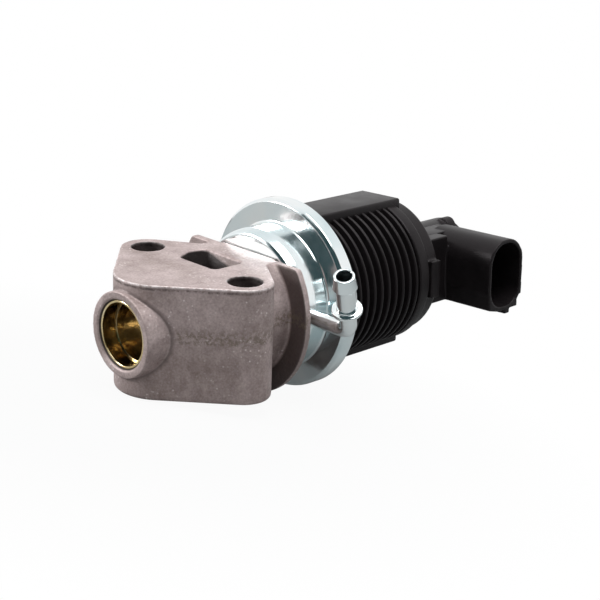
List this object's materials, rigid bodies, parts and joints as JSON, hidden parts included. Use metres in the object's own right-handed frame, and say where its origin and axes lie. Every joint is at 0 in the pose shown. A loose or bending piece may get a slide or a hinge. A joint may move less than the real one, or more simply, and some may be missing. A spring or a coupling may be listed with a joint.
{
  "type": "solenoid exhaust gas recirculation valve",
  "caption": "Coaxial solenoid exhaust gas recirculation valve: cast block with port and brass outlet, plated adapter with hose nipple, ribbed coil body and side plug socket.",
  "frame": {"origin": "centre of the outlet bush's mouth, on the valve's axis", "axes": "+X runs along the valve's axis from the outlet towards the sensor housing, +Z is square to the mounting face and points away from the block, and the plug socket points along -Y"},
  "size_m": [0.121, 0.0647, 0.0506],
  "materials": {
    "cast_iron": "fine sand-cast grey iron",
    "brass": "turned",
    "hard_steel": "ground",
    "bronze": "turned",
    "graphite": "matte",
    "zinc_plate": "bright zinc plating, blue tint",
    "gasket_steel": "matte",
    "screw_steel": "zinc plated",
    "seal_rubber": "matte",
    "black_plastic": "moulded, satin",
    "soft_iron": "phosphated",
    "stainless": "drawn",
    "bobbin_plastic": "moulded",
    "copper_wire": "enamelled copper",
    "spring_steel": "drawn",
    "white_plastic": "moulded",
    "board": "lacquered",
    "tinned_pin": "tinned"
  },
  "bodies": {
    "housing": {"valve_body": "cast_iron", "outlet_bush": "brass", "valve_seat": "hard_steel", "stem_guide": "bronze", "stem_seal": "graphite", "seal_retainer": "zinc_plate", "flange_gasket": "gasket_steel", "adapter_pan": "zinc_plate", "adapter_screws": "screw_steel", "vent_elbow": "zinc_plate", "hose_nipple": "zinc_plate", "foot_seal": "seal_rubber", "solenoid_shell": "black_plastic", "yoke_front": "soft_iron", "yoke_tube": "soft_iron", "yoke_rear": "soft_iron", "guide_sleeve": "stainless", "pole_piece": "soft_iron", "pole_stop": "bronze", "coil_bobbin": "bobbin_plastic", "coil_winding": "copper_wire", "return_spring": "spring_steel", "rear_cap": "black_plastic", "cap_seal": "seal_rubber", "plunger_guide": "bobbin_plastic", "sensor_board": "board", "sensor_spring": "spring_steel", "plug_socket": "black_plastic", "socket_pins": "tinned_pin", "coil_leads": "copper_wire"},
    "valve": {"valve_pintle": "hard_steel", "armature": "soft_iron", "stem_clip": "spring_steel"},
    "plunger": {"sensor_plunger": "white_plastic", "sensor_wipers": "bronze"}
  },
  "joints": [
    {"name": "valve_lift", "type": "slide", "parent": "housing", "child": "valve", "axis": [-1, 0, 0], "range_m": [0, 0.004], "stiffness_N_per_m": 1500, "springref_m": -0.006, "deforming": ["return_spring"]},
    {"name": "plunger_slide", "type": "slide", "parent": "housing", "child": "plunger", "axis": [-1, 0, 0], "range_m": [0, 0.004], "deforming": ["sensor_spring"]}
  ],
  "couplings": [
    {"joint": "plunger_slide", "follows": "valve_lift", "ratio": 1}
  ]
}
